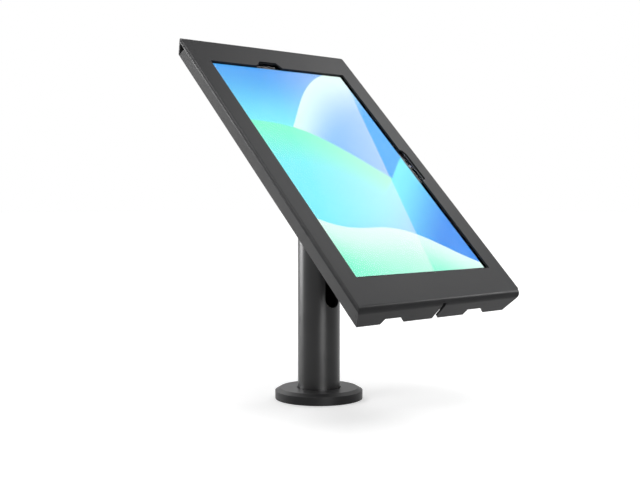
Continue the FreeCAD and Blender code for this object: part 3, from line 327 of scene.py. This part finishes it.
def screen_picture_and_glare(name):
    """Lit picture of four soft hills, one in front of the next, under a painted glare."""
    art = Finish(name, Roughness=0.5, Specular_IOR_Level=0.0, Base_Color=SCREEN_OFF, Emission_Strength=1.0)
    across, deep, high = [art.node("SeparateXYZ", {0: art.place}).outputs[i] for i in range(3)]
    lift = art.math("SUBTRACT", high, TILT_HEIGHT)
    up = art.math("MULTIPLY", art.math("ADD", deep, lift), math.sin(LEAN))

    sky_fall = art.span(up, SKY_TOP, SKY_FOOT, smooth=True)
    drift = art.noise(SKY_DRIFT, detail=0)
    picture = art.blend(art.math("MULTIPLY_ADD", drift, SKY_DRIFT_SHARE, sky_fall), SKY, CYAN)
    for height, slope, swing, length, phase, reach, near, far in HILLS:
        turn = art.math("MULTIPLY_ADD", across, 2 * math.pi / length, phase)
        wave = art.math("MULTIPLY", art.math("SINE", turn), swing)
        crest = art.math("ADD", art.math("MULTIPLY_ADD", across, slope, height), wave)
        below = art.math("SUBTRACT", crest, up)
        shaded = art.blend(art.span(below, 0, reach, smooth=True), near, far)
        picture = art.blend(art.span(below, -CREST_SOFT, CREST_SOFT), picture, shaded)

    # Painted reflection: a pale glare is mixed into the lit picture left of a slanted edge.
    left_of_edge = art.math("SUBTRACT", art.math("MULTIPLY_ADD", up, GLARE_EDGE_SLOPE, GLARE_EDGE_START), across)
    painted_glare = art.math("MULTIPLY", art.span(left_of_edge, -GLARE_EDGE_SOFT, GLARE_EDGE_SOFT),
                    art.span(left_of_edge, 0, GLARE_REACH, GLARE_SHARE, 0.0))
    art.put("Emission Color", art.blend(painted_glare, picture, WHITE))
    return art.data


# The third colour of each coat is the paler colour of its painted edge highlight.
coat = powder_coat("powder_coat_satin", srgb(44, 44, 45), srgb(104, 104, 106), 0.05, 0.28)
pole_coat = powder_coat("powder_coat_smooth", srgb(31, 31, 32), srgb(84, 84, 86), 0.27, 0.27)
disc_coat = powder_coat("powder_coat_dull", srgb(47, 47, 48), srgb(96, 96, 98), 0.09, 0.32)
zinc = metal("zinc_plate", srgb(176, 178, 182), 0.36, 0.8 * MM, 0.01 * MM)
black_oxide = metal("black_oxide", srgb(44, 44, 46), 0.42, 0.5 * MM, 0.008 * MM)
flange_steel = metal("bare_steel", srgb(150, 150, 152), 0.34, 1.2 * MM, 0.02 * MM, stretch=(1, 14, 1))
satin_nickel = metal("satin_nickel", srgb(188, 186, 180), 0.24, 0.6 * MM, 0.006 * MM)
anodised = metal("anodised_aluminium", srgb(94, 96, 100), 0.4, 0.35 * MM, 0.006 * MM)
nylon = plastic("black_nylon", srgb(34, 34, 35), 0.5, 0.7 * MM, 0.02 * MM)
rubber = plastic("black_rubber", srgb(26, 26, 27), 0.75, 0.5 * MM, 0.04 * MM)
border_ink = plastic("black_border", srgb(10, 10, 11), 0.4, 0.4 * MM, 0.002 * MM, shine=0.0)
foam = open_cell_foam("grey_foam", srgb(58, 58, 60))

FINISHES = {
    coat: ("tilt_knuckle", "front_cover", "back_plate", "vesa_plate", "latch_rail"),
    pole_coat: ("pole_tube", "hinge_post"),
    disc_coat: ("base_cover",),
    flange_steel: ("mounting_flange",),
    rubber: ("counter_gasket",),
    zinc: ("hinge_bolt", "hinge_nut", "hinge_washers", "pivot_bolt", "pivot_washer", "stop_pin",
           "press_nuts"),
    black_oxide: ("grub_screws", "vesa_screws"),
    nylon: ("friction_discs", "glide_ring"),
    anodised: ("tablet_housing", "power_button", "volume_button"),
    clear_glass("cover_glass"): ("tablet_glass",),
    screen_picture_and_glare("screen_picture_and_glare"): ("tablet_display",),
    battery_wrap("battery_wrap"): ("tablet_battery",),
    circuit_board("circuit_board"): ("tablet_board",),
    lens_glass("lens_glass"): ("front_camera", "rear_camera"),
    satin_nickel: ("lock_body", "lock_nut", "lock_plug", "lock_cam", "cam_screw"),
}
for material, nodes in FINISHES.items():
    for node in nodes:
        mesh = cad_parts[node].data
        mesh.materials.clear()
        mesh.materials.append(material)


def add_piece(name, mesh, material, body):
    piece = bpy.data.objects.new(name, mesh)
    bpy.context.scene.collection.objects.link(piece)
    mesh.materials.append(material)
    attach(piece, body)
    return piece


# Foam: each pad is its own crowned block, a little inside the space of its solid.
FOAM_CUTS = 6
FOAM_ROUND = 1.1 * MM
FOAM_CROWN = 0.25 * MM
FOAM_INSET = 0.05 * MM
SAME_PLACE = 0.001 * MM

# A point of a block from -1 to 1 lies on its face beyond this.
ON_FACE = 0.999


def loose_parts(mesh):
    """The corner points of each separate shell of a mesh."""
    copy = bmesh.new()
    copy.from_mesh(mesh)
    bmesh.ops.remove_doubles(copy, verts=copy.verts, dist=SAME_PLACE)
    unseen = set(copy.verts)
    while unseen:
        shell = []
        edge_of_search = [unseen.pop()]
        while edge_of_search:
            vertex = edge_of_search.pop()
            shell.append(vertex.co.copy())
            for edge in vertex.link_edges:
                other = edge.other_vert(vertex)
                if other in unseen:
                    unseen.remove(other)
                    edge_of_search.append(other)
        yield shell
    copy.free()


def foam_block(shell, target):
    """Adds one block with rounded edges and crowned faces, fitted to a shell's slanted outline."""
    points = [to_head(point) for point in shell]
    low = Vector([min(point[i] for point in points) for i in range(3)])
    high = Vector([max(point[i] for point in points) for i in range(3)])
    middle_depth = (low.z + high.z) / 2
    back = [point.x for point in points if point.z < middle_depth]
    front = [point.x for point in points if point.z >= middle_depth]
    block = bmesh.new()
    bmesh.ops.create_cube(block, size=2)
    bmesh.ops.subdivide_edges(block, edges=block.edges, cuts=FOAM_CUTS, use_grid_fill=True)
    half = (high - low) / 2 - Vector((FOAM_INSET,) * 3)
    for vertex in block.verts:
        unit = vertex.co.copy()
        share = (unit.z + 1) / 2
        left = min(back) * (1 - share) + min(front) * share + FOAM_INSET
        right = max(back) * (1 - share) + max(front) * share - FOAM_INSET
        size = Vector(((right - left) / 2, half.y, half.z))
        middle = Vector(((left + right) / 2, (low.y + high.y) / 2, middle_depth))
        inner = Vector([unit[i] * (size[i] - FOAM_ROUND) for i in range(3)])
        outward = Vector([math.copysign(1, along) if abs(along) > ON_FACE else 0 for along in unit])
        outward = outward.normalized() * FOAM_ROUND
        if abs(unit.z) > ON_FACE:
            sag = FOAM_CROWN * (1 - max(0, 1 - unit.x ** 2) * max(0, 1 - unit.y ** 2))
            outward.z -= math.copysign(sag, unit.z)
        vertex.co = from_head(middle + inner + outward)
    scratch = bpy.data.meshes.new("block")
    block.to_mesh(scratch)
    block.free()
    target.from_mesh(scratch)
    bpy.data.meshes.remove(scratch)


for node, body in (("back_pads", "enclosure"), ("end_blocks", "enclosure"), ("side_foam", "cover")):
    blocks = bmesh.new()
    for shell in loose_parts(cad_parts[node].data):
        foam_block(shell, blocks)
    mesh = bpy.data.meshes.new("foam_" + node)
    blocks.to_mesh(mesh)
    blocks.free()
    mesh.shade_smooth()
    piece = add_piece("foam_" + node, mesh, foam, body)
    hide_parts(node)


# Black border printed under the glass, round the lit area, with a hole for the lens.
GLASS_BACK = 57.5 * MM
BORDER_THICK = 0.1 * MM
BORDER_GAP = 0.02 * MM
LIT_HALF_WIDTH = 88.25 * MM
LIT_HALF_LENGTH = 141.15 * MM
LIT_CORNER = 0.5 * MM
GLASS_HALF_WIDTH = 95.9 * MM
GLASS_HALF_LENGTH = 148.85 * MM
TABLET_RISE = 1.9 * MM
BORDER_CORNER = 7.6 * MM
LENS_PLACE = 92.45 * MM
LENS_CLEAR = 2.1 * MM


def arc(x, y, radius, start, end, steps):
    """Points along part of a circle, from one angle in degrees to another."""
    angles = [math.radians(start + (end - start) * step / steps) for step in range(steps + 1)]
    return [(x + radius * math.cos(angle), y + radius * math.sin(angle)) for angle in angles]


def rounded_corners(half_width, half_length, radius):
    points = []
    for quarter, (across, along) in enumerate(((1, 1), (-1, 1), (-1, -1), (1, -1))):
        x = across * (half_width - radius)
        y = along * (half_length - radius)
        points += arc(x, y, radius, 90 * quarter, 90 * quarter + 90, steps=8)
    return points


def flat_plate(name, outlines, thick):
    """A thin plate in the plane of x and v, with holes, from closed outlines."""
    curve = bpy.data.curves.new(name, "CURVE")
    curve.dimensions = "2D"
    curve.fill_mode = "BOTH"
    curve.extrude = thick / 2
    for outline in outlines:
        spline = curve.splines.new("POLY")
        spline.points.add(len(outline) - 1)
        for point, (x, y) in zip(spline.points, outline):
            point.co = (x, y, 0, 1)
        spline.use_cyclic_u = True
    holder = bpy.data.objects.new(name + "_curve", curve)
    mesh = bpy.data.meshes.new_from_object(holder)
    bpy.data.objects.remove(holder)
    bpy.data.curves.remove(curve)
    return mesh


border = flat_plate("glass_border", [
    rounded_corners(GLASS_HALF_WIDTH, GLASS_HALF_LENGTH, BORDER_CORNER),
    rounded_corners(LIT_HALF_WIDTH, LIT_HALF_LENGTH, LIT_CORNER),
    arc(LENS_PLACE, 0, LENS_CLEAR, 0, 360, steps=32)[:-1],
], BORDER_THICK)
for vertex in border.vertices:
    x, y, z = vertex.co
    vertex.co = from_head((x, y + TABLET_RISE, GLASS_BACK - BORDER_GAP - BORDER_THICK / 2 + z))
add_piece("glass_border", border, border_ink, "enclosure")


# Light: a pale plain room and soft lamps round the object, six of them seen only in reflections.
MIDDLE = (0, 0, 0.15)


def softbox(name, centre, width, height, glow, aim=MIDDLE, diffuse=True):
    """An area lamp, turned towards a point, that sends glow of light from each point of its face."""
    lamp = bpy.data.lights.new(name, "AREA")
    lamp.shape = "RECTANGLE"
    lamp.size = width
    lamp.size_y = height
    lamp.energy = glow * math.pi * width * height
    holder = bpy.data.objects.new(name, lamp)
    bpy.context.scene.collection.objects.link(holder)
    holder.location = centre
    holder.rotation_euler = (Vector(aim) - Vector(centre)).to_track_quat("-Z", "Y").to_euler()
    holder.visible_camera = False
    holder.visible_diffuse = diffuse


softbox("upper_left", (-1.48, 0.4, 1.5), 0.8, 0.7, glow=4.0)
softbox("overhead", (0.1, 0, 2.2), 1.1, 0.9, glow=1.5)
softbox("back_fill", (0.7, 1.6, 1.3), 1.0, 0.7, glow=4.0)
softbox("ceiling", (-0.6, -0.15, 2.1), 1.5, 1.3, glow=15.0, diffuse=False)
softbox("left_glow", (-1.42, 0.66, 0.95), 1.2, 1.0, glow=7.0, diffuse=False)
softbox("right_glow", (1.4, -0.12, 1.45), 0.9, 0.8, glow=1.8, diffuse=False)
softbox("upper_right", (1.38, -0.072, 1.69), 0.9, 0.8, glow=2.6, aim=(0, 0, 0.25))
softbox("low_right", (1.38, -0.76, 0.97), 0.5, 0.25, glow=30.0, diffuse=False)
softbox("upper_front", (-0.325, -0.893, 1.8), 0.8, 0.8, glow=4.5)
softbox("front_strip", (-0.60, -1.48, 0.3), 0.6, 1.5, glow=26.0, diffuse=False)
softbox("rim_strip", (-0.72, 1.41, 0.3), 0.7, 1.5, glow=18.0, diffuse=False)


def seen_directly(tree):
    """1 for rays that show the background: to the camera, in a reflection or through glass."""
    path = tree.nodes.new("ShaderNodeLightPath")
    total = path.outputs["Is Camera Ray"]
    for name in ("Is Glossy Ray", "Is Transmission Ray"):
        either = tree.nodes.new("ShaderNodeMath")
        either.operation = "MAXIMUM"
        tree.links.new(total, either.inputs[0])
        tree.links.new(path.outputs[name], either.inputs[1])
        total = either.outputs[0]
    return total


# The room lights the object with its level, and is white where it is seen.
ROOM_LEVEL = 0.42
ROOM_SEEN = 1.0
room = bpy.data.worlds.new("pale_room")
bpy.context.scene.world = room
room.use_nodes = True
tree = room.node_tree
background = tree.nodes["Background"]
background.inputs["Color"].default_value = WHITE
strength = tree.nodes.new("ShaderNodeMapRange")
strength.inputs["To Min"].default_value = ROOM_LEVEL
strength.inputs["To Max"].default_value = ROOM_SEEN
tree.links.new(seen_directly(tree), strength.inputs["Value"])
tree.links.new(strength.outputs["Result"], background.inputs["Strength"])

# The floor is pale paper. Where it is seen, it adds a light of its own, more of it far from the object.
FLOOR_HALF = 12.0
FLOOR_NEAR = 0.6
FLOOR_FAR = 3.0
FLOOR_ADDED_NEAR = 0.46
FLOOR_ADDED_FAR = 0.8
PAPER_CLOUD = 400 * MM
PAPER_TONES = ((0.78, 0.78, 0.78, 1), (0.8, 0.8, 0.8, 1))
floor_mesh = bpy.data.meshes.new("floor")
corners = [(x * FLOOR_HALF, y * FLOOR_HALF, 0) for x, y in ((-1, -1), (1, -1), (1, 1), (-1, 1))]
floor_mesh.from_pydata(corners, [], [(0, 1, 2, 3)])
floor = bpy.data.objects.new("floor", floor_mesh)
bpy.context.scene.collection.objects.link(floor)
paper = Finish("white_paper", Roughness=0.9, Specular_IOR_Level=0.0, Emission_Color=WHITE)
paper.put("Base Color", paper.blend(paper.noise(PAPER_CLOUD), *PAPER_TONES))
reach = paper.node("VectorMath", {0: paper.place}, operation="LENGTH").outputs["Value"]
added = paper.span(reach, FLOOR_NEAR, FLOOR_FAR, FLOOR_ADDED_NEAR, FLOOR_ADDED_FAR, smooth=True)
paper.put("Emission Strength", paper.math("MULTIPLY", seen_directly(paper.tree), added))
floor_mesh.materials.append(paper.data)

# Camera: at the photograph's place, three quarters from the left at the height of the tilt axis.
SENSOR_WIDTH = 36
LENS_LENGTH = 58.38
CAMERA_PLACE = (-0.71143, -0.76094, 0.20128)
CAMERA_DIP = 2.293
CAMERA_TURN = -43.135
camera = bpy.data.cameras.new("camera")
camera.sensor_width = SENSOR_WIDTH
camera.lens = LENS_LENGTH
camera_holder = bpy.data.objects.new("camera", camera)
bpy.context.scene.collection.objects.link(camera_holder)
camera_holder.location = CAMERA_PLACE
camera_holder.rotation_euler = (math.radians(90 - CAMERA_DIP), 0, math.radians(CAMERA_TURN))
bpy.context.scene.camera = camera_holder
bpy.context.scene.view_settings.view_transform = "Standard"
